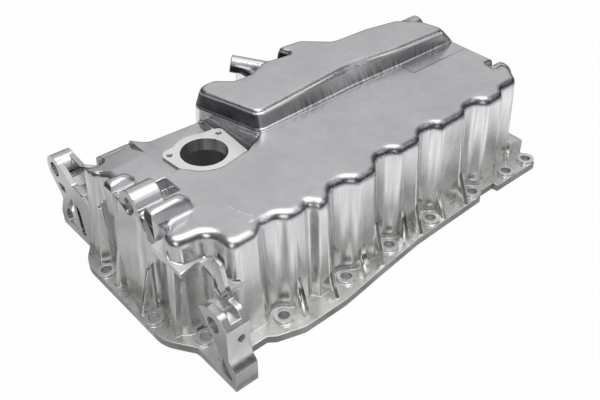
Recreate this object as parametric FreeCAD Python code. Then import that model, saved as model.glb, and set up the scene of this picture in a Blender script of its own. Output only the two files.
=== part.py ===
import FreeCAD, Part
import math
import os

os.makedirs("parts", exist_ok=True)

# Aluminium oil pan of an engine, lying upside down on its gasket face.
# X runs from the gearbox end to the pulley end, Y across, Z away from the engine.
# The origin is on the gasket face, in the plane of the gearbox face, midway
# between the two bolts of the flange's rounded end.

# heights above the gasket face
flangeThick = 7.0
bossTop = 10.0
floorTop = 97.5
sumpTop = 115.0
valleyFloor = 92.5
clear = 130.0

# casting
wallThick = 5.0
floorThick = 5.5
draftInset = 5.0
cornerRadius = 8.6
fluteRadius = 10.5
endCornerRadius = 13.6
endFluteRadius = 5.5
fluteAngle = 50.0
fluteHalfFloor = 5.5
edgeRound = 7.0
sumpEdgeRound = 5.0

# holes
flangeHole = 9.0
lugHole = 13.5
lugBoss = 25.0
sensorBore = 38.5
sensorThread = 5.0
sideThread = 6.8
plugThread = 12.5

flangeBoss = 16.0
finThick = 3.5
finRoot = 3.0
ribNose = 12.0
ribRound = 4.0

V = FreeCAD.Vector
up = V(0, 0, 1)
along = V(1, 0, 0)


def lineMeet(p, d, q, e):
    """Point where the line through p along d meets the line through q along e."""
    cross = d.x * e.y - d.y * e.x
    if abs(cross) < 1e-9:
        return q
    k = ((q.x - p.x) * e.y - (q.y - p.y) * e.x) / cross
    return p + d * k


def insetCorners(corners, inset):
    """Corner list moved inwards; corners run anticlockwise as (x, y, radius)."""
    n = len(corners)
    moved = []
    for i in range(n):
        a = V(corners[i - 1][0], corners[i - 1][1], 0)
        b = V(corners[i][0], corners[i][1], 0)
        c = V(corners[(i + 1) % n][0], corners[(i + 1) % n][1], 0)
        d = (b - a).normalize()
        e = (c - b).normalize()
        p = a + V(-d.y, d.x, 0) * inset
        q = b + V(-e.y, e.x, 0) * inset
        meet = lineMeet(p, d, q, e)
        moved.append((meet.x, meet.y, corners[i][2]))
    return moved


def thinned(corners, inset):
    """Inset of one wall thickness, with the radii of an even wall."""
    n = len(corners)
    moved = insetCorners(corners, inset)
    out = []
    for i in range(n):
        a = corners[i - 1]
        b = corners[i]
        c = corners[(i + 1) % n]
        turn = (b[0] - a[0]) * (c[1] - b[1]) - (b[1] - a[1]) * (c[0] - b[0])
        radius = b[2] - inset if turn > 0 else b[2] + inset
        out.append((moved[i][0], moved[i][1], max(radius, 1.0)))
    return out


def outlineEdges(corners, z):
    """Straight lines joined by tangent arcs; a corner of radius 0 stays sharp."""
    n = len(corners)
    ends = []
    for i in range(n):
        a = V(corners[i - 1][0], corners[i - 1][1], z)
        b = V(corners[i][0], corners[i][1], z)
        c = V(corners[(i + 1) % n][0], corners[(i + 1) % n][1], z)
        d = (b - a).normalize()
        e = (c - b).normalize()
        turn = d.getAngle(e)
        radius = corners[i][2]
        reach = radius * math.tan(turn / 2)
        middle = (e - d).normalize() * (radius / math.cos(turn / 2) - radius)
        ends.append((b - d * reach, b + middle, b + e * reach, radius))
    edges = []
    for i in range(n):
        if ends[i][3] > 0:
            edges.append(Part.Arc(ends[i][0], ends[i][1], ends[i][2]).toShape())
        edges.append(Part.LineSegment(ends[i][2], ends[(i + 1) % n][0]).toShape())
    return edges


def outline(corners, z):
    return Part.Wire(outlineEdges(corners, z))


def bend(low, high):
    """Patch between the arcs of one corner: a true cone where both share an axis, else ruled."""
    shift = high.Curve.Center - low.Curve.Center
    if math.hypot(shift.x, shift.y) > 1e-6:
        return Part.makeRuledSurface(low, high)
    side = Part.LineSegment(low.valueAt(low.FirstParameter), high.valueAt(high.FirstParameter)).toShape()
    turn = math.degrees(low.LastParameter - low.FirstParameter)
    return side.revolve(low.Curve.Center, low.Curve.Axis, turn)


def skin(rings):
    """Solid through rings of edges at rising heights, with true planes where a wall is flat."""
    faces = [Part.Face(Part.Wire(rings[0])), Part.Face(Part.Wire(rings[-1]))]
    for low, high in zip(rings, rings[1:]):
        for a, b in zip(low, high):
            straight = isinstance(a.Curve, Part.Line)
            along = (a.valueAt(a.LastParameter) - a.valueAt(a.FirstParameter)).normalize()
            above = (b.valueAt(b.LastParameter) - b.valueAt(b.FirstParameter)).normalize()
            if straight and along.cross(above).Length < 1e-6:
                ends = [a.valueAt(a.FirstParameter), a.valueAt(a.LastParameter)]
                ends += [b.valueAt(b.LastParameter), b.valueAt(b.FirstParameter)]
                faces.append(Part.Face(Part.makePolygon(ends + ends[:1])))
            else:
                faces.append(Part.makeRuledSurface(a, b) if straight else bend(a, b))
    shell = Part.makeShell(faces)
    shell.sewShape()
    solid = Part.makeSolid(shell)
    if solid.Volume < 0:
        solid.reverse()
    return solid


def plate(corners, z0, z1):
    return Part.Face(outline(corners, z0)).extrude(up * (z1 - z0))


def flute(x, y0, y1, floor):
    """Vertical channel above a flange bolt, in a wall that runs along X."""
    side0 = (floor - y0) / math.tan(math.radians(fluteAngle))
    side1 = (floor - y1) / math.tan(math.radians(fluteAngle))
    return [
        (x - fluteHalfFloor - side0, y0, cornerRadius),
        (x - fluteHalfFloor, floor, fluteRadius),
        (x + fluteHalfFloor, floor, fluteRadius),
        (x + fluteHalfFloor + side1, y1, cornerRadius),
    ]


def endFlute(y, x0, x1, floor):
    """The same channel in the gearbox end wall, walked towards minus Y."""
    side0 = (floor - x0) / math.tan(math.radians(fluteAngle))
    side1 = (floor - x1) / math.tan(math.radians(fluteAngle))
    return [
        (x0, y + fluteHalfFloor + side0, endCornerRadius),
        (floor, y + fluteHalfFloor, endFluteRadius),
        (floor, y - fluteHalfFloor, endFluteRadius),
        (x1, y - fluteHalfFloor - side1, endCornerRadius),
    ]


def yzPlate(points, x0, x1):
    """Prism along X of a corner list (y, z, radius) seen from the gearbox."""
    face = Part.Face(outline(points, 0))
    face.Placement = FreeCAD.Placement(FreeCAD.Matrix(0, 0, 1, x0, 1, 0, 0, 0, 0, 1, 0, 0))
    return face.extrude(V(x1 - x0, 0, 0))


def xzPlate(points, y0, y1):
    """Prism along Y of a corner list (x, z, radius) seen from the side that shows."""
    face = Part.Face(outline(points, 0))
    face.Placement = FreeCAD.Placement(V(0, y1, 0), FreeCAD.Rotation(V(1, 0, 0), 90))
    return face.extrude(V(0, y0 - y1, 0))


def rod(radius, start, direction, length):
    return Part.makeCylinder(radius, length, start, direction)


def block(x0, x1, y0, y1, z0, z1):
    return Part.makeBox(x1 - x0, y1 - y0, z1 - z0, V(x0, y0, z0))


# bolts of the flange, seen in plan
endBoltX = -8.5
endBoltY = 35.0
frontBolts = [(68, -99), (134, -99), (188, -95), (241, -94), (298, -94), (347, -94)]
cornerBolts = [(10, -77), (377, -94)]
rearBolts = [(58, 97), (122, 97), (182, 99), (241, 97), (298, 95), (347, 93)]
pulleyBolts = [(388, -38), (388, 12), (386, 62)]

# fins between the flange edge and the wall: foot x, y, then x, y and height of the crest
fins = [
    (83, -111, 87, -94.5, 33), (113, -112, 117, -97.5, 28), (150, -110, 155, -94.5, 30),
    (168, -108, 172, -94, 39),
    (202, -104, 208, -88.5, 38), (220, -103, 227, -87, 33), (251, -102, 257, -86.5, 29),
    (281, -102, 286, -86.5, 32),
    (-7, 47, -1.5, 44, 66), (-12, 15, -3.5, 16, 43), (-13, -24, -3.5, -26, 50), (-6, -60, -1, -60, 76),
    (90, 102, 90, 61, 40), (160, 103, 160, 72, 42), (203, 103, 203, 77, 36), (285, 102, 285, 81, 40),
]

# outer wall at the gasket face, anticlockwise from the front corner at the gearbox end
endWallX = -6.0
endFluteX = 3.0
endRegion = 50.0
pulleyWallX = 379.0
pulleyRegion = 355.0
walls = [(24, -95, endCornerRadius)]
walls += flute(68, -95, -96, -88)
walls += [(97, -96, 3), (100, -94, 2), (104, -101, 3)]
walls += flute(134, -101, -97, -89)
walls += flute(188, -97, -91, -84)
walls += flute(241, -91, -89, -82)
walls += flute(298, -89, -91, -82)
walls += flute(347, -91, -91, -83)[:2]
walls += [(364, -83, endCornerRadius), (pulleyWallX, -63, endCornerRadius), (pulleyWallX, 58, 16)]
walls += [(102, 62, 8), (58, 64, 9), (49, 75, endCornerRadius), (8, 75, endCornerRadius)]
walls += [(-4.5, 64, endCornerRadius)]
walls += endFlute(endBoltY, -4.5, endWallX, endFluteX)
walls += endFlute(-endBoltY, endWallX, -4.5, endFluteX)
walls += [(-4.5, -66, endCornerRadius), (24, -70, 7)]

# deep block: the same corners at the gasket face, at the floor and at its top
sumpFoot = [
    (131, 0, 8), (240, 1.5, 60), (298, 0.5, 20), (374, 0, 8), (376, 42, 12), (350, 76, 14),
    (302, 84, 16), (262, 84, 12), (242, 92, 10), (214, 92, 4), (219, 76, 3), (190, 80, 10),
    (168, 74, 10), (149, 74, 10), (137, 88, 10), (112, 88, 10),
]
sumpWaist = [
    (131, 4, 8), (240, 5, 60), (298, 4.2, 20), (374, 4, 8), (371, 36, 12), (342, 60, 14),
    (302, 63, 16), (262, 64, 12), (240, 85, 10), (212, 86, 4), (218, 70, 3), (189, 73, 10),
    (168, 66, 10), (150, 66, 10), (137, 79, 10), (112, 78, 10),
]
sumpCrown = [
    (133, 8, 8), (240, 18, 60), (298, 10, 20), (359, 6, 8), (353, 33, 12), (336, 50, 14),
    (302, 57, 16), (262, 59, 12), (240, 80, 10), (213, 83, 4), (219, 66, 3), (188, 71, 10),
    (168, 62, 10), (150, 62, 10), (137, 74, 10), (115, 74, 10),
]

# flange edge in plan
flangeEdge = [
    (0, -127, 0), (20, -127, 0), (28, -110, 0), (32, -105.5, 0), (46, -105.5, 0),
    (52, -110, 8), (75, -117, 14), (118, -116.5, 60), (160, -111, 60), (215, -104.5, 60),
    (301, -101.5, 0), (301.5, -96.5, 0), (325.5, -96.5, 0), (326, -102, 0), (381, -102, 0),
    (384.5, -95, 0), (385, -80, 0), (396, -64, 0), (396, 82, 14), (376, 106, 20),
    (60, 108, 20), (28, 123, 8), (0, 123, 0), (0, 76, 10), (-15.5, 56, 30), (-15.5, -57, 30),
    (0, -80, 10),
]


def blended(a, b, k):
    """Corner list part of the way from a to b."""
    return [tuple(p + (q - p) * k for p, q in zip(u, v)) for u, v in zip(a, b)]


def crowned(levels, radius, bands):
    """Solid through corner lists at rising heights, its top edge rolled over in ruled bands."""
    below, z0 = levels[-2]
    rim, z1 = levels[-1]
    shoulder = blended(rim, below, radius / (z1 - z0))
    crown = thinned(rim, radius)
    rings = [outlineEdges(c, z) for c, z in levels[:-1]]
    for i in range(bands + 1):
        turn = math.pi / 2 * i / bands
        k = math.sin(turn) / (math.sin(turn) + math.cos(turn))
        section = blended(blended(shoulder, rim, k), blended(rim, crown, k), k)
        rings.append(outlineEdges(section, z1 - radius * (1 - k) ** 2))
    return skin(rings)


def room(levels):
    """Hollow with flat walls and sharp corners through corner lists at rising heights."""
    return skin([outlineEdges([(x, y, 0) for x, y, r in c], z) for c, z in levels])


def gusset(x, y, wallX, wallY, height):
    """Thin fin from the flange edge up to a point of the wall, rooted inside the wall."""
    run = V(wallX - x, wallY - y, 0).normalize()
    side = V(-run.y, run.x, 0) * (finThick / 2)
    foot = V(x, y, flangeThick - 1)
    head = V(wallX, wallY, height)
    root = run * finRoot
    corners = [foot, head, head + root, V(wallX, wallY, flangeThick - 1) + root, foot]
    return Part.Face(Part.makePolygon([c - side for c in corners])).extrude(side * 2)


def nosedRib(x0, x1, y0, y1, z1):
    """Rib along X with a round crest, whose inner end dips into the floor."""
    rings = []
    for drop in (30, ribNose, ribNose * 0.45, ribRound * 0.3, 0):
        nose = ribNose - math.sqrt(ribNose ** 2 - max(ribNose - drop, 0) ** 2)
        lean = ribRound - math.sqrt(ribRound ** 2 - max(ribRound - drop, 0) ** 2)
        tip = max((y1 - y0) / 2 - 0.3 - lean, 1.2)
        rings.append(outlineEdges([
            (x0 + lean, y1 - lean, 0), (x0 + lean, y0 + lean, 0),
            (x1 - nose, y0 + lean, tip), (x1 - nose, y1 - lean, tip),
        ], z1 - drop))
    return skin(rings)


# outer body
evenRim = thinned(walls, draftInset)
rim = [c if endRegion < c[0] < pulleyRegion else e for c, e in zip(insetCorners(walls, draftInset), evenRim)]
rootWalls = blended(walls, rim, flangeThick / floorTop)
body = crowned([(rootWalls, flangeThick), (rim, floorTop)], edgeRound, 3)
sump = crowned([(sumpFoot, 0), (sumpWaist, floorTop), (sumpCrown, sumpTop)], sumpEdgeRound, 3)

# floor that falls away behind and beside the sensor pad, and the low strip beside the deep block
stripStep = 0.8
behindPad = yzPlate([(39, floorTop, 0), (90, 88, 0), (90, clear, 0), (39, clear, 0)], -20, 46)
besidePad = xzPlate([
    (42, floorTop, 0), (60, valleyFloor + 1, 0), (106, valleyFloor + 0.5, 0), (106, clear, 0), (42, clear, 0),
], 7, 97)
valley = plate([(107, -9, 0), (126, 1, 8), (140, 10, 0), (140, 90, 0), (107, 90, 0)], valleyFloor, clear)
lowStrip = block(298, 420, -11, 20, floorTop - stripStep, clear)
cornerScoop = rod(9, V(10, 64, 84), up, 40)
body = body.cut(behindPad).cut(besidePad).cut(valley).cut(lowStrip).cut(cornerScoop)
outer = body.fuse(sump)

# flange, bolt bosses and fins
flange = plate(flangeEdge, 0, flangeThick)
raisedBolts = [(endBoltX, endBoltY), (endBoltX, -endBoltY)] + frontBolts + cornerBolts
flangeBolts = raisedBolts + rearBolts + pulleyBolts
bossHeight = bossTop - flangeThick + 1
bosses = [rod(flangeBoss / 2, V(x, y, flangeThick - 1), up, bossHeight) for x, y in raisedBolts]
ribs = [gusset(*f) for f in fins]

# machined pad of the level sensor
padX, padY, padTop, padRoot = 82.0, 14.0, 96.5, 84.0
screwX, screwY, screwDepth = (58.5, 106.5), 28.0, 10.5
pad = rod(26.5, V(padX, padY, padRoot), up, padTop - padRoot)
pad = pad.fuse(plate([
    (82, -12.5, 6), (109, -8, 0), (112.5, 33, 5), (106, 36, 5), (94, 37, 10), (70, 36, 10), (57, 35, 6),
    (53, 30, 5), (55, 5, 0), (70, -9, 12),
], padRoot, padTop))
padRecess = pad.copy()
padRecess.translate(V(0, 0, padTop - padRoot))

# middle gearbox lug with its bolt boss, side ribs and access pocket
lugY, lugZ = -6.0, 97.0
lugDeep = 23.0
midLug = yzPlate([(28, 84, 0), (-25, 84, 0), (-19, 97, 3), (8, 97, 0), (9, 90, 0), (28, 89, 0)], 0, 5)
midLug = midLug.fuse(rod(lugBoss / 2, V(0, lugY, lugZ), along, lugDeep))
frontRib = nosedRib(-1, 36, -40, -29, 110)
rearRib = nosedRib(-3, 22, 12, 23, 106)
pocket = block(lugDeep, lugDeep + 16, -15, 5, 87, clear)

# front gearbox lug
frontLugY, frontLugZ = -104.0, 51.0
frontLugDeep = 20.0
frontLugSide = -120.0
sideHoleX, sideHoleZ, sideHoleDepth = 12.5, 42.0, 9.5
frontLug = yzPlate([
    (-88, 58, 0), (-97, 64, 6), (-112, 64, 6), (-120, 55, 0), (-120, 27, 0), (-127, 19, 0), (-127, 0, 0),
    (-123, 0, 0), (-123, 10, 2), (-89, 56, 0),
], 0, 20)
lugPost = yzPlate([(-100, 0, 0), (-104, 0, 0), (-104, 45, 0), (-100, 45, 0)], 5, 20)
lugSeat = block(6, 15, -119, -88, 58, 70)
lugWeb = yzPlate([(-40, 85, 0), (-68, 74, 2), (-92, 60, 0), (-92, 56, 0), (-68, 70, 2), (-40, 81, 0)], -8, 40)
lugWeb = lugWeb.common(plate([
    (-6, -36, 0), (0, -69, 0), (18, -66, 4), (20, -80, 8), (12, -90, 0), (14, -98, 0), (40, -98, 0),
    (40, -36, 0),
], 40, 100))
lugRib = yzPlate([
    (-84, 90, 0), (-93, 88, 0), (-98, 70, 10), (-106, 60, 8), (-119, 55, 0), (-119, 45, 0), (-84, 45, 0),
], 17, 20.5)

# rear gearbox bracket
rearLugY, rearLugZ = 120.0, 60.0
bracketDeep = 17.5
bracketFace = yzPlate([
    (74, 0, 0), (123.5, 0, 0), (124, 14, 8), (115, 33, 6), (131, 52, 8), (133, 62, 6), (125, 73, 8),
    (112, 71, 8), (92, 58, 6), (66, 52, 0), (66, 40, 0),
], 0, 5)
bracketHole = yzPlate([(82, 8, 3), (114, 8, 5), (116, 15, 6), (99, 42, 5), (86, 36, 4)], -1, 6)
bracketSlot = yzPlate([(121, 48, 0), (116, 42, 0), (106, 42, 0), (107, 49, 0)], -1, 6)
bracketBoss = rod(lugBoss / 2, V(0, rearLugY, rearLugZ), along, bracketDeep)
bracketBack = yzPlate([
    (60, 0, 0), (112, 0, 0), (124, 14, 0), (116, 33, 0), (131, 50, 0), (133, 64, 4), (124, 72.5, 4),
    (98, 69.5, 0), (60, 88, 0),
], bracketDeep - 4.5, bracketDeep)
bracketBar = yzPlate([(98, 50, 0), (94, 50, 0), (90, 6, 0), (94, 6, 0)], 0, bracketDeep - 1)
bracketShelf = plate([(1, 76, 0), (1, 92, 0), (bracketDeep - 2, 84, 0.5), (bracketDeep - 2, 68, 0.5)], 54, 58)
bracketParts = [bracketBar, bracketBoss, bracketBack, bracketShelf]
bracket = bracketFace.cut(bracketHole).cut(bracketSlot).fuse(bracketParts)

# bosses of the far side and the pulley end
pipeBoss = rod(8, V(176, 102, 104), V(26, -26, -6), 34)
pipeWeb = block(178, 184, 66, 98, 60, 104)
drainX, drainY, drainZ = pulleyWallX - 16, 46.0, sumpTop - 13.5
drainDepth = 15.0
drainReach = 35.0
drainBoss = rod(10, V(drainX - drainReach, drainY, drainZ), along, drainReach)
drainSeat = rod(10.5, V(drainX, drainY, drainZ), along, 20)
plugX, plugY, plugZ = pulleyWallX + 7, -46.0, floorTop - 18.5
plugDepth = 16.0
plugReach = 28.0
plugBoss = rod(11, V(plugX - plugReach, plugY, plugZ), along, plugReach)
cornerNotch = plate([(361, -41, 0), (359, -55, 0), (400, -49, 0), (400, -41, 0)], 90, clear)
toolBoss = xzPlate([(368, 0, 0), (387, 0, 0), (387, 24, 8), (368, 24, 0)], -81, -67)

casting = outer.fuse([flange] + bosses + ribs)
casting = casting.cut(padRecess).fuse(pad)
casting = casting.fuse([midLug, frontRib, rearRib, frontLug, lugPost, lugRib, lugWeb, bracket])
casting = casting.fuse([pipeBoss, pipeWeb, drainBoss, plugBoss, toolBoss])
casting = casting.cut(cornerNotch.fuse(pocket).fuse(lugSeat).fuse(drainSeat))
casting = casting.fuse(plugBoss)

# cavity
roof = floorTop - floorThick
sumpRoof = sumpTop - floorThick
cavity = room([
    (insetCorners(walls, wallThick), -1),
    (insetCorners(walls, wallThick + draftInset * roof / floorTop), roof),
])
deep = room([(insetCorners(sumpFoot, wallThick), -1), (insetCorners(sumpWaist, wallThick), roof)])
dome = insetCorners(sumpCrown, wallThick)
cavity = cavity.fuse(deep).fuse(room([(dome, roof - 1), (dome, sumpRoof)]))
padBottom = 85.0
keep = block(38, 118, -16, 75, padBottom, roof + 1)
keep = keep.fuse(rod(lugBoss / 2 + 2, V(0, lugY, lugZ), along, lugDeep + 7))
keep = keep.fuse(block(18, 44, -20, 10, padBottom - 3, roof + 1))
endLand = block(-10, 4, -20, 20, -1, bossTop)
cavity = cavity.cut(keep).cut(endLand)
casting = casting.cut(cavity)

# holes
drills = [rod(flangeHole / 2, V(x, y, -1), up, 40) for x, y in flangeBolts]
drills.append(rod(sensorBore / 2, V(padX, padY, padBottom - 10), up, sumpTop))
drills += [rod(sensorThread / 2, V(x, screwY, padTop - screwDepth), up, 30) for x in screwX]
drills.append(rod(lugHole / 2, V(-10, lugY, lugZ), along, lugDeep + 11))
drills.append(rod(lugHole / 2, V(-1, frontLugY, frontLugZ), along, frontLugDeep + 2))
drills.append(rod(lugHole / 2, V(-1, rearLugY, rearLugZ), along, bracketDeep + 2))
drills.append(rod(sideThread / 2, V(sideHoleX, frontLugSide - 1, sideHoleZ), V(0, 1, 0), sideHoleDepth + 1))
drills.append(rod(plugThread / 2, V(drainX - drainDepth, drainY, drainZ), along, drainDepth + 1))
drills.append(rod(plugThread / 2, V(plugX - plugDepth, plugY, plugZ), along, plugDepth + 1))
casting = casting.cut(Part.makeCompound(drills)).removeSplitter()

print("valid", casting.isValid(), "solids", len(casting.Solids), "volume", casting.Volume, casting.BoundBox)
casting.exportStep("parts/pan_casting.step")
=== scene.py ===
import math
import bpy
import bmesh
from mathutils import Matrix, Vector


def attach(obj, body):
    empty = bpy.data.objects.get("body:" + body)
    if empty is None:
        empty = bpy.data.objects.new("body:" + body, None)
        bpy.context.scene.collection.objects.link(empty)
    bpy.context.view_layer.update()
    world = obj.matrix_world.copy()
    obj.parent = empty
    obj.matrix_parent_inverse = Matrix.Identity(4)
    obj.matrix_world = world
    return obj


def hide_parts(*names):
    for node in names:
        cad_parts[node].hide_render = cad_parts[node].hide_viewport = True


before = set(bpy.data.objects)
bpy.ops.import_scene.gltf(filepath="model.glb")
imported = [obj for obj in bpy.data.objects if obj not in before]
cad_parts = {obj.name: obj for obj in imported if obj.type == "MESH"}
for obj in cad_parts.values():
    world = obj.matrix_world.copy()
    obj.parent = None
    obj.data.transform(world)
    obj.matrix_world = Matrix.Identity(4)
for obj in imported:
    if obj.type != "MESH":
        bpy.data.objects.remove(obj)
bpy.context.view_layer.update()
print("frame loaded")


# small helpers for node trees
patternReach = (0.3, 0.7)        # nearly all of a noise pattern lies between these values


def newMaterial(name):
    mat = bpy.data.materials.new(name)
    mat.use_nodes = True
    mat.node_tree.nodes.clear()
    return mat, mat.node_tree


def link(tree, socket, value):
    if isinstance(value, bpy.types.NodeSocket):
        tree.links.new(value, socket)
    else:
        socket.default_value = value


def addNode(tree, kind, inputs=None, **props):
    node = tree.nodes.new(kind)
    for key, value in props.items():
        setattr(node, key, value)
    for key, value in (inputs or {}).items():
        link(tree, node.inputs[key], value)
    return node


def split(tree, vector):
    return addNode(tree, "ShaderNodeSeparateXYZ", {"Vector": vector}).outputs


def objectPlace(tree):
    coords = addNode(tree, "ShaderNodeTexCoord").outputs["Object"]
    return coords, split(tree, coords)


def plainNormal(tree):
    return addNode(tree, "ShaderNodeNewGeometry").outputs["Normal"]


def noise(tree, coords, scale, detail=3.0, rough=0.55, stretch=None):
    if stretch:
        inputs = {"Vector": coords, "Scale": stretch}
        coords = addNode(tree, "ShaderNodeMapping", inputs).outputs["Vector"]
    node = addNode(tree, "ShaderNodeTexNoise", {
        "Vector": coords, "Scale": scale, "Detail": detail, "Roughness": rough})
    return node.outputs["Fac"]


def ramp(tree, value, low, high, atLow, atHigh, kind="LINEAR"):
    node = addNode(tree, "ShaderNodeMapRange", {
        "Value": value, "From Min": low, "From Max": high,
        "To Min": atLow, "To Max": atHigh}, interpolation_type=kind)
    return node.outputs["Result"]


def rise(tree, value, low, high):
    return ramp(tree, value, low, high, 0.0, 1.0)


def swing(tree, pattern, low, high):
    return ramp(tree, pattern, *patternReach, low, high)


def calc(tree, operation, a, b=0.0):
    node = addNode(tree, "ShaderNodeMath", operation=operation)
    link(tree, node.inputs[0], a)
    link(tree, node.inputs[1], b)
    return node.outputs[0]


def total(tree, *values):
    result = values[0]
    for value in values[1:]:
        result = calc(tree, "ADD", result, value)
    return result


def product(tree, *values):
    result = values[0]
    for value in values[1:]:
        result = calc(tree, "MULTIPLY", result, value)
    return result


def distance(tree, coords, middle):
    node = addNode(tree, "ShaderNodeVectorMath", {0: coords, 1: middle}, operation="DISTANCE")
    return node.outputs["Value"]


def dot(tree, a, b):
    node = addNode(tree, "ShaderNodeVectorMath", {0: a, 1: b}, operation="DOT_PRODUCT")
    return node.outputs["Value"]


def bump(tree, height, depth, normal):
    node = addNode(tree, "ShaderNodeBump", {"Distance": depth, "Height": height, "Normal": normal})
    return node.outputs["Normal"]


def grey(value):
    return (value, value, value, 1.0)


rounding = {
    "samples": 8,
    "edgeMatch": (0.995, 0.9),   # agreement with the plain normal: flat above, full edge below
}


# normals rounded over edges, and how near a place is to an edge (0 to 1)
def roundedEdges(tree, radius):
    node = addNode(tree, "ShaderNodeBevel", {"Radius": radius}, samples=rounding["samples"])
    rounded = node.outputs["Normal"]
    return rounded, rise(tree, dot(tree, rounded, plainNormal(tree)), *rounding["edgeMatch"])


def finishMetal(tree, tone, blue, rough, normal, metal=1.0):
    parts = {"Red": tone, "Green": tone, "Blue": calc(tree, "ADD", tone, blue)}
    colour = addNode(tree, "ShaderNodeCombineColor", parts).outputs["Color"]
    shader = addNode(tree, "ShaderNodeBsdfPrincipled", {
        "Base Color": colour, "Metallic": metal, "Roughness": rough, "Normal": normal})
    addNode(tree, "ShaderNodeOutputMaterial", {"Surface": shader.outputs["BSDF"]})


# the rolled rim between the walls and the pan floor: soft, with a speckled painted dark reflection
rolledRim = {
    "softHeights": (0.084, 0.092),   # the rounding grows between these heights
    "radius": 0.0072,
    "blockAt": (-0.045, -0.035),     # y where the raised block begins, whose foot
    "blockRadius": 0.0022,           # has a smaller rounding
    "darkHeights": (0.082, 0.086),
    "leanTop": (0.965, 0.87),        # upward part of the normal: dark below the first pair
    "leanSide": (0.06, 0.2),         # and above this one
    "darkRun": (0.06, 0.13),         # x over which the painted dark reflection comes in from the gearbox end
    "speckle": (500.0, 3.0, 0.7),    # scale, detail and roughness of a pattern
    "speckleReach": (0.38, 0.6),
    "speckleDark": 0.5,
    # how dark the painted reflection makes the rim
    "dark": 0.5,
    "highlightHeights": (0.082, 0.09),
    "paintedHighlight": 0.35,                   # share of the painted edge highlight that is left on the rim
}


def softRadius(tree, axes, edgeRadius):
    p = rolledRim
    grown = ramp(tree, axes["Z"], *p["softHeights"], edgeRadius, p["radius"])
    limit = ramp(tree, axes["Y"], *p["blockAt"], p["radius"], p["blockRadius"])
    return calc(tree, "MINIMUM", grown, limit)


# the share of the rim that gets the painted dark reflection, speckled
def paintedRimReflection(tree, coords, axes, rounded):
    p = rolledRim
    lean = split(tree, rounded)["Z"]
    speckle = noise(tree, coords, *p["speckle"])
    return product(tree, rise(tree, lean, *p["leanTop"]), rise(tree, lean, *p["leanSide"]),
                   rise(tree, axes["Z"], *p["darkHeights"]), rise(tree, axes["X"], *p["darkRun"]),
                   ramp(tree, speckle, *p["speckleReach"], 1.0, p["speckleDark"]))


# a few pale scratches on the pan floor
scratches = {
    "middle": (0.060, -0.070, 0.0975),
    "reach": 0.017,
    "fade": 0.6,                     # they are whole within this share of the reach
    "line": (75.0, 1.5, 0.6),        # scale, detail and roughness of a pattern
    "lineWidth": (0.012, 0.004),
    "patch": (160.0, 1.0),
    "patchReach": (0.47, 0.53),
    "tone": 0.25,
    "rough": 0.3,
    "metal": 0.15,
}


def scratchShare(tree, coords):
    p = scratches
    near = rise(tree, distance(tree, coords, p["middle"]), p["reach"], p["reach"] * p["fade"])
    fromLine = calc(tree, "SUBTRACT", noise(tree, coords, *p["line"]), 0.5)
    line = rise(tree, calc(tree, "ABSOLUTE", fromLine), *p["lineWidth"])
    patch = rise(tree, noise(tree, coords, *p["patch"]), *p["patchReach"])
    return product(tree, line, patch, near)


# cast skin
castSkin = {
    "tone": 0.76,                    # bare die-cast aluminium
    "cloud": (26.0, 4.0, 0.6),       # scale, detail and roughness of a pattern
    "cloudTone": 0.05,
    "cloudRough": 0.04,
    "fine": (190.0, 4.0, 0.6),
    "fineTone": 0.015,
    "roughLow": 0.17,
    "roughHigh": 0.27,
    "blueHeights": (0.02, 0.097),
    "blueLow": -0.018,               # the foot has a warmer tint,
    "blueHigh": 0.024,               # the pan floor a cooler one
    "wallTilt": (0.35, 0.6),         # upward part of the normal: a wall below, none above
    "paintedSideLight": 0.08,                # painted light: walls that face the gearbox end are brighter
    "sideReach": (-0.5, 0.5),
    "draw": (170.0, 3.0, 0.6),       # upright draw marks of the die on the walls
    "drawStretch": (1.0, 1.0, 0.05),
    "drawDepth": 0.00004,
    "drawTone": 0.045,
    "wave": (45.0, 2.0),             # slow waviness of the skin
    "waveDepth": 0.00006,
    "grain": (1100.0, 3.0),
    "grainDepth": 0.0000016,
    "pit": (420.0, 2.0, 0.6),        # sparse dark specks
    "pitReach": (0.74, 0.8),
    "pitTone": 0.22,
    "pitField": (35.0, 2.0),         # and the fields that hold them
    "pitFieldReach": (0.5, 0.62),
    "edgeRadius": 0.0009,            # rounding of small edges
    "paintedEdgeHighlight": 0.22,               # painted highlight along the edges
    "finHeights": (0.055, 0.03),     # and more so on the fins and the flange
    "paintedFinHighlight": 2.0,
    "footHeights": (0.0125, 0.007),  # rougher and darker patches low down, where the walls meet the flange
    "foot": (120.0, 4.0, 0.65),
    "footReach": (0.42, 0.6),
    "footTone": 0.1,
    "footRough": 0.15,
    "flangeHeights": (0.0125, 0.008),
    "flangeTilt": (0.8, 0.95),
    "paintedFlangeLight": 0.08,              # painted light: the flange's top is a little brighter
    "flangeRough": 0.06,
    "brimHeights": (0.0068, 0.006),
    "paintedBrimShade": 0.13,                # and its upright side darker, painted shade
}


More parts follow.
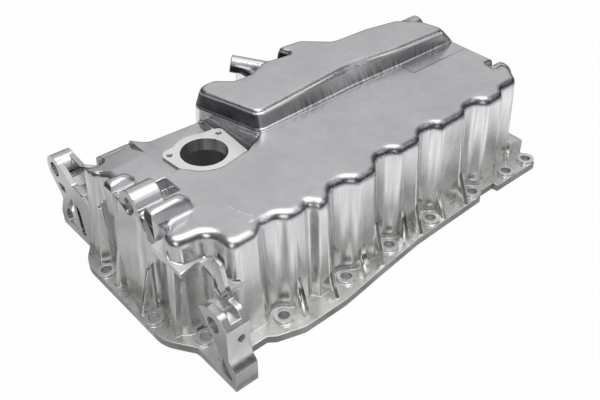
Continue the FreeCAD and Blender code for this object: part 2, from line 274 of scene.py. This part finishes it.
def makeCastMaterial():
    p = castSkin
    mat, tree = newMaterial("castSkin")
    coords, axes = objectPlace(tree)
    height = axes["Z"]
    facing = split(tree, plainNormal(tree))
    wall = ramp(tree, calc(tree, "ABSOLUTE", facing["Z"]), *p["wallTilt"], 1.0, 0.0)
    rounded, edge = roundedEdges(tree, softRadius(tree, axes, p["edgeRadius"]))

    cloud = noise(tree, coords, *p["cloud"])
    fine = noise(tree, coords, *p["fine"])
    draw = noise(tree, coords, *p["draw"], p["drawStretch"])
    pit = product(tree, ramp(tree, noise(tree, coords, *p["pit"]), *p["pitReach"], 0.0, p["pitTone"]),
                  rise(tree, noise(tree, coords, *p["pitField"]), *p["pitFieldReach"]))
    flange = product(tree, rise(tree, height, *p["flangeHeights"]),
                     rise(tree, facing["Z"], *p["flangeTilt"]))
    brim = product(tree, rise(tree, height, *p["brimHeights"]), wall)
    foot = product(tree, rise(tree, height, *p["footHeights"]),
                   rise(tree, noise(tree, coords, *p["foot"]), *p["footReach"]))
    rim = paintedRimReflection(tree, coords, axes, rounded)
    scratch = scratchShare(tree, coords)
    # painted highlight along edges, weaker on the rim, stronger low down on the fins and flange
    paintedHighlight = product(tree, edge, p["paintedEdgeHighlight"],
                    ramp(tree, height, *rolledRim["highlightHeights"], 1.0, rolledRim["paintedHighlight"]),
                    ramp(tree, height, *p["finHeights"], 1.0, p["paintedFinHighlight"]))

    light = total(tree,
                  swing(tree, cloud, p["tone"] - p["cloudTone"], p["tone"] + p["cloudTone"]),
                  swing(tree, fine, -p["fineTone"], p["fineTone"]),
                  product(tree, swing(tree, draw, -p["drawTone"], p["drawTone"]), wall),
                  # painted light: walls facing the gearbox end are brighter
                  product(tree, ramp(tree, facing["X"], *p["sideReach"],
                                     p["paintedSideLight"], -p["paintedSideLight"]), wall),
                  paintedHighlight,
                  # painted light on the flange's top
                  product(tree, flange, p["paintedFlangeLight"]),
                  product(tree, scratch, scratches["tone"]))
    dark = total(tree, pit,
                 # painted shade on the flange's upright side
                 product(tree, brim, p["paintedBrimShade"]),
                 product(tree, foot, p["footTone"]),
                 # painted dark reflection on the rolled rim
                 product(tree, rim, rolledRim["dark"]))
    tone = calc(tree, "SUBTRACT", light, dark)
    rough = total(tree,
                  swing(tree, fine, p["roughLow"], p["roughHigh"]),
                  swing(tree, cloud, -p["cloudRough"], p["cloudRough"]),
                  product(tree, foot, p["footRough"]),
                  product(tree, flange, p["flangeRough"]),
                  product(tree, scratch, scratches["rough"]))

    normal = bump(tree, noise(tree, coords, *p["wave"]), p["waveDepth"], rounded)
    normal = bump(tree, product(tree, draw, wall), p["drawDepth"], normal)
    normal = bump(tree, noise(tree, coords, *p["grain"]), p["grainDepth"], normal)
    metal = ramp(tree, scratch, 0.0, 1.0, 1.0, scratches["metal"])
    tint = ramp(tree, height, *p["blueHeights"], p["blueLow"], p["blueHigh"])
    finishMetal(tree, tone, tint, rough, normal, metal)
    return mat


# brushed skin of the raised block's slopes
brushed = {
    "tone": 0.86,
    "leastTone": 0.05,
    "cloud": (40.0, 3.0),            # scale, detail and roughness of a pattern
    "cloudTone": 0.04,
    "blue": 0.015,
    "rough": (0.39, 0.5),
    "endReach": (-0.45, -0.65),      # normals along x: the end face at the gearbox side
    "paintedEndShade": 0.2,                  # is darker, painted shade
    "streak": (330.0, 4.0, 0.7),     # fine streaks that run up the slope
    "streakStretch": (1.0, 0.12, 0.12),
    "streakTone": 0.05,
    "streakDepth": 0.000012,
    "paintedSlopeShade": 0.6,                 # painted shade on the slope
    "darkHeights": (0.111, 0.101),   # which grows downwards,
    "darkTop": 0.2,
    "darkRun": (0.13, 0.19),         # grows away from the gearbox end, x,
    "darkStart": 0.25,
    "darkStreaks": (0.35, 0.6),      # and is broken up by the streaks
    "darkGaps": 0.2,
    "edgeRadius": 0.0026,
    "paintedEdgeHighlight": 0.42,               # painted highlight along the edges
    "lines": (0.0992, 0.1118),       # heights of two fine lines, their shape in the bump only, each with a painted highlight
    "lineWidth": 0.0013,
    "lineHeight": 0.0009,
    "lineRough": -0.2,
}


def makeBrushedMaterial():
    p = brushed
    mat, tree = newMaterial("brushedSlope")
    coords, axes = objectPlace(tree)
    facing = split(tree, plainNormal(tree))
    rounded, edge = roundedEdges(tree, p["edgeRadius"])
    streak = noise(tree, coords, *p["streak"], p["streakStretch"])
    cloud = noise(tree, coords, *p["cloud"])
    ridges = []
    for at in p["lines"]:
        away = calc(tree, "ABSOLUTE", calc(tree, "SUBTRACT", axes["Z"], at))
        ridges.append(ramp(tree, away, 0.0, p["lineWidth"], 1.0, 0.0))
    ridge = calc(tree, "MAXIMUM", *ridges)
    # painted shade on the slope, growing downwards and away from the gearbox end
    dark = product(tree, ramp(tree, axes["Z"], *p["darkHeights"], p["darkTop"], 1.0),
                   ramp(tree, axes["X"], *p["darkRun"], p["darkStart"], 1.0),
                   ramp(tree, streak, *p["darkStreaks"], p["darkGaps"], 1.0))
    tone = total(tree,
                 swing(tree, cloud, p["tone"] - p["cloudTone"], p["tone"] + p["cloudTone"]),
                 swing(tree, streak, -p["streakTone"], p["streakTone"]),
                 product(tree, dark, -p["paintedSlopeShade"]),
                 # painted shade on the end face at the gearbox side
                 ramp(tree, facing["X"], *p["endReach"], 0.0, p["paintedEndShade"] - p["tone"]),
                 # painted highlight along the edges and the two lines
                 product(tree, calc(tree, "MAXIMUM", edge, ridge), p["paintedEdgeHighlight"]))
    tone = calc(tree, "MAXIMUM", tone, p["leastTone"])
    rough = total(tree, swing(tree, cloud, *p["rough"]), product(tree, ridge, p["lineRough"]))
    normal = bump(tree, ridge, p["lineHeight"], rounded)
    normal = bump(tree, streak, p["streakDepth"], normal)
    finishMetal(tree, tone, p["blue"], rough, normal)
    return mat


# machined faces
machined = {
    "lineScale": 900.0,              # cutter lines per metre, across
    "lineRun": 14.0,                 # and along
    "line": (1.0, 2.0, 0.5),         # scale, detail and roughness of a pattern
    "lineTone": 0.025,
    "lineDepth": 0.000008,
    "cloud": (60.0, 3.0),
    "cloudTone": 0.02,
    "cloudRough": (-0.04, 0.05),
    "edgeRadius": 0.0005,
    # painted highlight along the edges
    "paintedEdgeHighlight": 0.1,
    "pad": (0.95, 0.62, 0.004, 0),   # tone, roughness, blue tint, axis of the cutter lines
    "face": (0.82, 0.36, 0.02, 1),
    "bore": (0.7, 0.26, 0.006, 2),
    # rougher finish for leaning webs; its low tone is painted shade
    "roughShaded": (0.5, 0.5, 0.01, 2),
}


def makeMachinedMaterial(name, finish):
    p = machined
    tone, rough, blue, lineAxis = finish
    mat, tree = newMaterial(name)
    coords = objectPlace(tree)[0]
    stretch = [p["lineScale"]] * 3
    stretch[lineAxis] = p["lineRun"]
    lines = noise(tree, coords, *p["line"], tuple(stretch))
    cloud = noise(tree, coords, *p["cloud"])
    rounded, edge = roundedEdges(tree, p["edgeRadius"])
    value = total(tree, swing(tree, lines, tone - p["lineTone"], tone + p["lineTone"]),
                  swing(tree, cloud, -p["cloudTone"], p["cloudTone"]),
                  product(tree, edge, p["paintedEdgeHighlight"]))
    low, high = p["cloudRough"]
    finishMetal(tree, value, blue, swing(tree, cloud, rough + low, rough + high),
                bump(tree, lines, p["lineDepth"], rounded))
    return mat


castMat = makeCastMaterial()
padMat = makeMachinedMaterial("machinedPad", machined["pad"])
lugMat = makeMachinedMaterial("machinedFace", machined["face"])
boreMat = makeMachinedMaterial("machinedBore", machined["bore"])
slopeMat = makeBrushedMaterial()
roughShadedMat = makeMachinedMaterial("roughShadedFlat", machined["roughShaded"])
skins = (castMat, padMat, lugMat, boreMat, slopeMat, roughShadedMat)
castSlot, padSlot, lugSlot, boreSlot, slopeSlot, roughShadedSlot = range(len(skins))
print("materials made")


# the casting: a merged and smoothed copy of the CAD solid
shell = {
    "merge": 0.00001,
    "flatAngle": 0.25,               # faces closer than this in angle are one flat face, degrees
    "smoothAngle": 30.0,
    "normalWeight": 90,
    "fit": 0.0001,
    "straight": 0.999,               # a normal at least this much along an axis
    "padTop": 0.0965,
    "bossTop": 0.010,
    "lugSide": -0.120,
    "boreAt": (0.082, 0.014),
    "boreReach": 0.0195,
    "boreFloor": 0.084,
    "boreTilt": 0.2,
    "blockFoot": 0.0975,             # the raised block's slopes are above this height
    "slopeTilt": 0.62,
    "leanTowards": (-0.285, -0.327, 0.901),   # flat webs that lean so get a rougher finish whose darker tone is painted shade
    "leanMatch": 0.93,
    "leanArea": 30e-6,
    "leanUntil": (0.06, 0.085),      # within this x and height
}


def faceKind(face):
    p = shell
    c = face.calc_center_median()
    n = face.normal
    if n.z > p["straight"] and abs(c.z - p["padTop"]) < p["fit"]:
        return padSlot
    if n.x < -p["straight"] and abs(c.x) < p["fit"]:
        return lugSlot
    if abs(n.z) > p["straight"] and min(abs(c.z), abs(c.z - p["bossTop"])) < p["fit"]:
        return lugSlot
    if n.y < -p["straight"] and abs(c.y - p["lugSide"]) < p["fit"]:
        return lugSlot
    offAxis = (Vector((c.x, c.y)) - Vector(p["boreAt"])).length
    if abs(n.z) < p["boreTilt"] and c.z > p["boreFloor"] and offAxis < p["boreReach"]:
        return boreSlot
    if c.z > p["blockFoot"] and abs(n.z) < p["slopeTilt"]:
        return slopeSlot
    return castSlot


def isLeaningWeb(face, lean):
    p = shell
    if face.material_index != castSlot or face.calc_area() <= p["leanArea"]:
        return False
    c = face.calc_center_median()
    x, z = p["leanUntil"]
    return face.normal.dot(lean) > p["leanMatch"] and c.x < x and c.z < z


def makeCasting():
    p = shell
    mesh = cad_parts["pan_casting"].data.copy()
    mesh.materials.clear()
    bm = bmesh.new()
    bm.from_mesh(mesh)
    bmesh.ops.remove_doubles(bm, verts=bm.verts, dist=p["merge"])
    bm.normal_update()
    for face in bm.faces:
        face.smooth = True
        face.material_index = faceKind(face)
    bmesh.ops.dissolve_limit(bm, angle_limit=math.radians(p["flatAngle"]),
                             use_dissolve_boundaries=False,
                             verts=bm.verts, edges=bm.edges, delimit={"MATERIAL"})
    lean = Vector(p["leanTowards"]).normalized()
    for face in bm.faces:
        if isLeaningWeb(face, lean):
            face.material_index = roughShadedSlot
    bm.to_mesh(mesh)
    bm.free()
    mesh.set_sharp_from_angle(angle=math.radians(p["smoothAngle"]))
    for mat in skins:
        mesh.materials.append(mat)
    obj = bpy.data.objects.new("panCasting", mesh)
    bpy.context.scene.collection.objects.link(obj)
    even = obj.modifiers.new("evenNormals", "WEIGHTED_NORMAL")
    even.mode = "FACE_AREA"
    even.keep_sharp = True
    even.weight = p["normalWeight"]
    return obj


casting = makeCasting()
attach(casting, "root")
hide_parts("pan_casting")
print("casting made:", len(casting.data.polygons), "faces")


# turns of thread, each a closed ring, in three tapped holes and in two lug holes
threadTurns = {
    "pitch": 0.0014,
    "height": 0.00045,               # how far a turn stands in from the hole's wall
    "segments": 40,
    "corners": 4,                    # of a turn's profile
    "holes": [                       # mouth, direction into the hole, radius, depth of thread
        ((0.0585, 0.028, 0.0965), (0, 0, -1), 0.0025, 0.009),
        ((0.1065, 0.028, 0.0965), (0, 0, -1), 0.0025, 0.009),
        ((0.0125, -0.120, 0.042), (0, 1, 0), 0.0034, 0.008),
        # the two lug holes, which the record has as plain clearance holes
        ((0.0, -0.006, 0.097), (1, 0, 0), 0.00675, 0.021),
        ((0.0, -0.104, 0.051), (1, 0, 0), 0.00675, 0.019),
    ],
}


def threadTree():
    tree = bpy.data.node_groups.new("threadTurns", "GeometryNodeTree")
    for name, kind in (("Radius", "Float"), ("Height", "Float"), ("Pitch", "Float"),
                       ("Turns", "Int"), ("Segments", "Int"), ("Finish", "Material")):
        tree.interface.new_socket(name=name, in_out="INPUT", socket_type="NodeSocket" + kind)
    tree.interface.new_socket(name="Geometry", in_out="OUTPUT", socket_type="NodeSocketGeometry")
    given = tree.nodes.new("NodeGroupInput").outputs
    path = addNode(tree, "GeometryNodeCurvePrimitiveCircle", {
        "Resolution": given["Segments"], "Radius": given["Radius"]})
    groove = addNode(tree, "GeometryNodeCurvePrimitiveCircle", {
        "Resolution": threadTurns["corners"], "Radius": given["Height"]})
    ring = addNode(tree, "GeometryNodeCurveToMesh", {
        "Curve": path.outputs["Curve"], "Profile Curve": groove.outputs["Curve"]})
    step = addNode(tree, "ShaderNodeCombineXYZ", {"Z": given["Pitch"]})
    line = addNode(tree, "GeometryNodeMeshLine", {
        "Count": given["Turns"], "Offset": step.outputs["Vector"]})
    turns = addNode(tree, "GeometryNodeInstanceOnPoints", {
        "Points": line.outputs["Mesh"], "Instance": ring.outputs["Mesh"]})
    real = addNode(tree, "GeometryNodeRealizeInstances", {"Geometry": turns.outputs["Instances"]})
    finish = addNode(tree, "GeometryNodeSetMaterial", {
        "Geometry": real.outputs["Geometry"], "Material": given["Finish"]})
    out = tree.nodes.new("NodeGroupOutput")
    tree.links.new(finish.outputs["Geometry"], out.inputs["Geometry"])
    return tree


def makeThreads():
    p = threadTurns
    tree = threadTree()
    names = {item.name: item.identifier for item in tree.interface.items_tree
             if item.in_out == "INPUT"}
    joined = bmesh.new()
    for mouth, into, radius, depth in p["holes"]:
        maker = bpy.data.objects.new("threadMaker", bpy.data.meshes.new("threadMaker"))
        bpy.context.scene.collection.objects.link(maker)
        turns = maker.modifiers.new("threadTurns", "NODES")
        turns.node_group = tree
        inputs = {"Radius": radius, "Height": p["height"], "Pitch": p["pitch"],
                  "Turns": int(depth / p["pitch"]), "Segments": p["segments"], "Finish": boreMat}
        for name, value in inputs.items():
            turns[names[name]] = value
        bpy.context.view_layer.update()
        evaluated = maker.evaluated_get(bpy.context.evaluated_depsgraph_get())
        done = bpy.data.meshes.new_from_object(evaluated)
        turn = Vector(into).to_track_quat("Z", "Y").to_matrix().to_4x4()
        start = Vector(mouth) + Vector(into) * p["pitch"]
        done.transform(Matrix.Translation(start) @ turn)
        joined.from_mesh(done)
        bpy.data.objects.remove(maker)
    bmesh.ops.recalc_face_normals(joined, faces=joined.faces)
    mesh = bpy.data.meshes.new("threadTurns")
    joined.to_mesh(mesh)
    joined.free()
    mesh.materials.append(boreMat)
    obj = bpy.data.objects.new("threadTurns", mesh)
    bpy.context.scene.collection.objects.link(obj)
    return obj


threads = makeThreads()
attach(threads, "root")
print("threads made:", len(threads.data.polygons), "faces")


# floor: white to the camera, a lit table with a dark room beyond it in reflections
table = {
    "reach": 6.0,
    "drop": 0.0005,                  # the floor lies this far under the part
    "paint": 0.85,
    "whiteShare": 0.97,              # the rest is painted floor with the part's shadow
    "middle": (0.19, 0.0),           # of the part on the table
    "halfSize": (0.20, 0.13),
    "near": 0.35,                    # light of the table beside the part
    "lit": 0.88,                     # and this far off
    "litRun": (0.0, 0.06),
    "darkRun": (0.25, 0.55),         # where the table ends in the dark room
    "far": 0.04,
    "sideRun": (-0.08, 0.0),         # x towards the gearbox side, which is dimmer
    "sideDim": 0.6,
    "underRun": (-0.06, -0.03),
    "under": 0.14,                   # painted shade inside the pan, in the table's light
    "patch": (16.0, 2.0),            # scale and detail of the patches of light
    "patchLight": 0.4,
    "cavityAt": (0.10, 0.0, 0.0),    # dark floor seen through the sensor bore
    "cavityReach": (0.081, 0.09),
    "cavityWhite": 0.07,
}


def makeFloorMaterial():
    p = table
    mat, tree = newMaterial("studioFloor")
    coords, axes = objectPlace(tree)
    sides = []
    for axis, centre, half in zip("XY", p["middle"], p["halfSize"]):
        offset = calc(tree, "ABSOLUTE", calc(tree, "SUBTRACT", axes[axis], centre))
        sides.append(calc(tree, "SUBTRACT", offset, half))
    away = calc(tree, "MAXIMUM", *sides)
    patches = swing(tree, noise(tree, coords, *p["patch"]), 1 - p["patchLight"], 1 + p["patchLight"])
    glow = product(tree, ramp(tree, away, *p["litRun"], p["near"], p["lit"], "SMOOTHSTEP"),
                   ramp(tree, away, *p["darkRun"], 1.0, 0.0, "SMOOTHSTEP"),
                   ramp(tree, axes["X"], *p["sideRun"], p["sideDim"], 1.0, "SMOOTHSTEP"),
                   patches,
                   ramp(tree, away, *p["underRun"], p["under"], 1.0))
    glow = calc(tree, "MAXIMUM", glow, p["far"])
    mirrored = addNode(tree, "ShaderNodeEmission", {"Color": grey(1.0), "Strength": glow})
    paint = addNode(tree, "ShaderNodeBsdfDiffuse", {"Color": grey(p["paint"])})
    white = addNode(tree, "ShaderNodeEmission", {"Color": grey(1.0), "Strength": 1.0})
    path = addNode(tree, "ShaderNodeLightPath").outputs
    shade = addNode(tree, "ShaderNodeMixShader", {
        "Fac": path["Is Glossy Ray"], 1: paint.outputs[0], 2: mirrored.outputs[0]})
    whiteness = ramp(tree, distance(tree, coords, p["cavityAt"]), *p["cavityReach"],
                     p["cavityWhite"], p["whiteShare"])
    shade = addNode(tree, "ShaderNodeMixShader", {
        "Fac": product(tree, path["Is Camera Ray"], whiteness),
        1: shade.outputs[0], 2: white.outputs[0]})
    addNode(tree, "ShaderNodeOutputMaterial", {"Surface": shade.outputs[0]})
    return mat


def makeFloor():
    mesh = bpy.data.meshes.new("studioFloor")
    r, z = table["reach"], -table["drop"]
    mesh.from_pydata([(-r, -r, z), (r, -r, z), (r, r, z), (-r, r, z)], [], [(0, 1, 2, 3)])
    mesh.materials.append(makeFloorMaterial())
    obj = bpy.data.objects.new("studioFloor", mesh)
    bpy.context.scene.collection.objects.link(obj)
    return obj


floor = makeFloor()
print("floor made")


# world: dark near the horizon, with light overhead and three soft lights around
tent = {
    "low": 0.05,
    "middle": 0.2,
    "middleAt": 0.6,                 # heights are sines of the elevation
    "top": 1.5,
    "topHeights": (0.79, 0.94),
    "lights": [                      # direction, cosines of outer and inner reach, level
        ((0.62, 0.56, 0.47), 0.65, 0.97, 0.39),      # grey wall behind the part
        ((-0.70, -0.60, 0.38), 0.94, 0.98, 1.5),     # small softbox beside the camera
        ((0.48, -0.55, 0.72), 0.93, 0.975, 0.7),     # softbox at the front right
    ],
}


def makeWorld():
    p = tent
    world = bpy.data.worlds.new("studioWorld")
    bpy.context.scene.world = world
    world.use_nodes = True
    tree = world.node_tree
    tree.nodes.clear()
    direction = addNode(tree, "ShaderNodeTexCoord").outputs["Generated"]
    height = split(tree, direction)["Z"]
    level = total(tree, ramp(tree, height, 0.0, p["middleAt"], p["low"], p["middle"]),
                  ramp(tree, height, *p["topHeights"], 0.0, p["top"], "SMOOTHSTEP"))
    for towards, outer, inner, strength in p["lights"]:
        match = dot(tree, direction, Vector(towards).normalized())
        level = total(tree, level, ramp(tree, match, outer, inner, 0.0, strength, "SMOOTHSTEP"))
    room = addNode(tree, "ShaderNodeBackground", {"Color": grey(1.0), "Strength": level})
    white = addNode(tree, "ShaderNodeBackground", {"Color": grey(1.0), "Strength": 1.0})
    seen = addNode(tree, "ShaderNodeLightPath").outputs["Is Camera Ray"]
    mixed = addNode(tree, "ShaderNodeMixShader", {
        "Fac": seen, 1: room.outputs[0], 2: white.outputs[0]})
    addNode(tree, "ShaderNodeOutputWorld", {"Surface": mixed.outputs[0]})


makeWorld()
print("world made")


# lamp and camera
softbox = {
    "place": (0.25, -0.25, 1.4),
    "aim": (0.19, -0.01, 0.05),
    "size": (0.7, 0.4),
    "power": 1.6,
}
view = {
    "place": (-0.20966, -0.43675, 0.47251),
    "turn": (51.36, 0.0, -41.04),    # degrees
    "lens": 49.2,                    # millimetres, as is the sensor
    "sensor": 36.0,
    "clipStart": 0.01,
}


def addLamp():
    data = bpy.data.lights.new("overheadBox", "AREA")
    data.shape = "RECTANGLE"
    data.size, data.size_y = softbox["size"]
    data.energy = softbox["power"]
    lamp = bpy.data.objects.new("overheadBox", data)
    aim = Vector(softbox["aim"]) - Vector(softbox["place"])
    lamp.location = softbox["place"]
    lamp.rotation_euler = aim.to_track_quat("-Z", "Y").to_euler()
    bpy.context.scene.collection.objects.link(lamp)


def addCamera():
    data = bpy.data.cameras.new("photoCamera")
    data.lens = view["lens"]
    data.sensor_width = view["sensor"]
    data.clip_start = view["clipStart"]
    cam = bpy.data.objects.new("photoCamera", data)
    cam.location = view["place"]
    cam.rotation_euler = [math.radians(angle) for angle in view["turn"]]
    bpy.context.scene.collection.objects.link(cam)
    bpy.context.scene.camera = cam


addLamp()
addCamera()
bpy.context.scene.view_settings.view_transform = "Standard"
print("stage ready")
